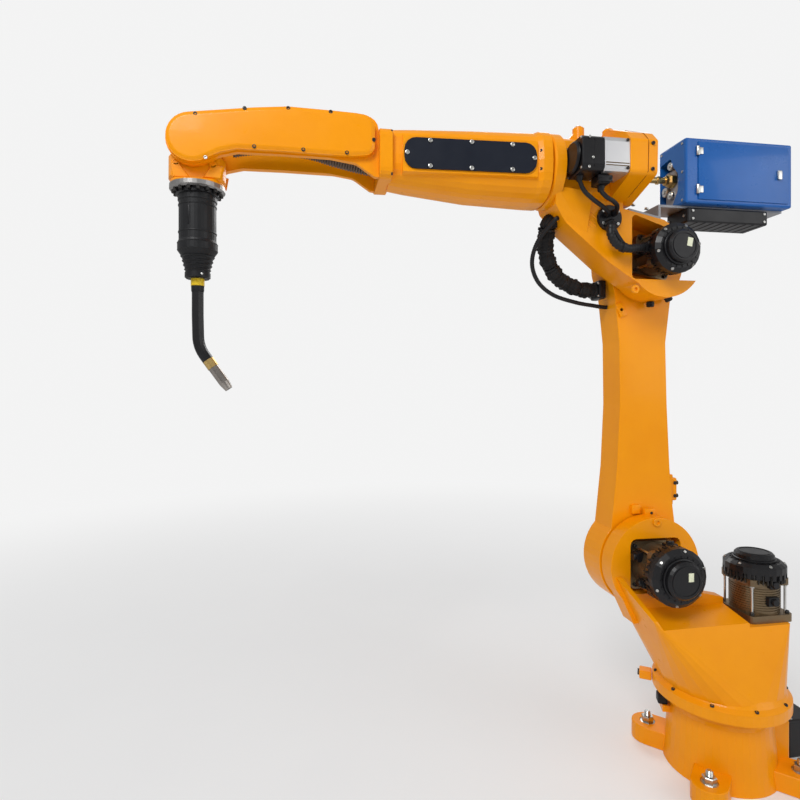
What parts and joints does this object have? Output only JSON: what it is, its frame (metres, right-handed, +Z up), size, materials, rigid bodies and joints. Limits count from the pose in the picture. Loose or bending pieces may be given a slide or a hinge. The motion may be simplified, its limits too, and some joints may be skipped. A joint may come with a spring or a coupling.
{
  "type": "industrial robot arm",
  "caption": "Floor-standing articulated welding robot: cast base and turret, upright lower arm, hollow forearm with forked wrist, curved torch and wire feeder.",
  "frame": {"origin": "centre of the base's mounting face, on the axis of the first joint", "axes": "+Z up along the first joint's axis, +X the way the forearm points at rest, +Y towards the side that carries the shoulder and elbow motors"},
  "size_m": [1.5758, 0.3205, 1.581],
  "materials": {
    "orange_paint": "gloss orange-yellow enamel over a cast surface",
    "plain_steel": "machined",
    "motor_aluminium": "smooth extruded",
    "motor_casting": "dark bronze-grey coated casting",
    "black_housing": "satin black moulding",
    "blue_black_panel": "satin blue-black cover",
    "black_rubber": "moulded, dull",
    "black_cable_cloth": "woven cable sleeve",
    "brass_fitting": "turned",
    "feeder_blue": "smooth blue enamel",
    "grey_plate": "flat grey sheet",
    "yellow_ring": "moulded"
  },
  "bodies": {
    "base": {"base_casting": "orange_paint", "base_stop_bumper": "black_rubber", "connector_box": "black_housing", "power_socket": "plain_steel", "signal_socket": "plain_steel"},
    "turret": {"turret_casting": "orange_paint", "turret_stop_block": "orange_paint", "shoulder_motor_body": "motor_casting", "shoulder_motor_fan_shroud": "black_housing", "shoulder_motor_fan_cap": "black_housing", "swivel_motor_body": "motor_casting", "swivel_motor_fan_shroud": "black_housing", "swivel_motor_fan_cap": "black_housing"},
    "lower_arm": {"lower_arm_casting": "orange_paint", "shoulder_hub_cover": "orange_paint", "elbow_hub_cover": "orange_paint", "harness_clamp_block": "orange_paint", "harness_bracket": "black_housing"},
    "elbow": {"elbow_casting": "orange_paint", "belt_cover": "orange_paint", "twist_motor_stator": "motor_aluminium", "twist_motor_encoder": "black_housing", "twist_motor_end_cap": "black_housing", "cable_entry_plate": "black_housing", "elbow_motor_body": "motor_casting", "elbow_motor_fan_shroud": "black_housing", "elbow_motor_fan_cap": "black_housing", "feeder_bracket": "grey_plate", "feeder_case": "feeder_blue", "elbow_bumper_lower": "black_rubber", "elbow_bumper_rear": "black_rubber", "twist_motor_connector": "black_housing", "twist_power_lead": "black_rubber", "twist_encoder_lead": "black_rubber", "elbow_motor_conduit": "black_rubber", "feeder_drive_unit": "grey_plate", "torch_adaptor": "brass_fitting", "wire_guide_tube": "brass_fitting", "feeder_junction_box": "black_housing", "elbow_harness": "black_cable_cloth", "elbow_hose": "black_rubber"},
    "forearm": {"forearm_tube": "orange_paint", "forearm_cover_panel": "blue_black_panel", "near_fork_arm": "orange_paint", "near_belt_cover": "orange_paint", "far_fork_arm": "orange_paint", "far_belt_cover": "orange_paint", "torch_conduit": "black_rubber"},
    "wrist": {"wrist_housing": "orange_paint"},
    "tool": {"tool_flange": "plain_steel", "torch_boot": "black_rubber", "torch_band": "yellow_ring", "torch_neck": "black_housing", "torch_insulator": "brass_fitting", "torch_nozzle": "plain_steel"}
  },
  "joints": [
    {"name": "swivel", "type": "hinge", "parent": "base", "child": "turret", "pos_m": [0, 0, 0.174], "axis": [0, 0, 1], "range_deg": [-165, 165]},
    {"name": "shoulder", "type": "hinge", "parent": "turret", "child": "lower_arm", "pos_m": [0.175, 0, 0.505], "axis": [0, 1, 0], "range_deg": [-80, 90]},
    {"name": "elbow", "type": "hinge", "parent": "lower_arm", "child": "elbow", "pos_m": [0.175, 0, 1.265], "axis": [0, -1, 0], "range_deg": [-70, 110], "deforming": ["elbow_harness", "elbow_hose"]},
    {"name": "forearm_twist", "type": "hinge", "parent": "elbow", "child": "forearm", "pos_m": [0.477, 0, 1.465], "axis": [1, 0, 0], "range_deg": [-150, 150]},
    {"name": "wrist_bend", "type": "hinge", "parent": "forearm", "child": "wrist", "pos_m": [1.267, 0, 1.465], "axis": [0, 1, 0], "range_deg": [-180, 45]},
    {"name": "tool_turn", "type": "hinge", "parent": "wrist", "child": "tool", "pos_m": [1.267, 0, 1.387], "axis": [0, 0, 1], "range_deg": [-210, 210]}
  ]
}
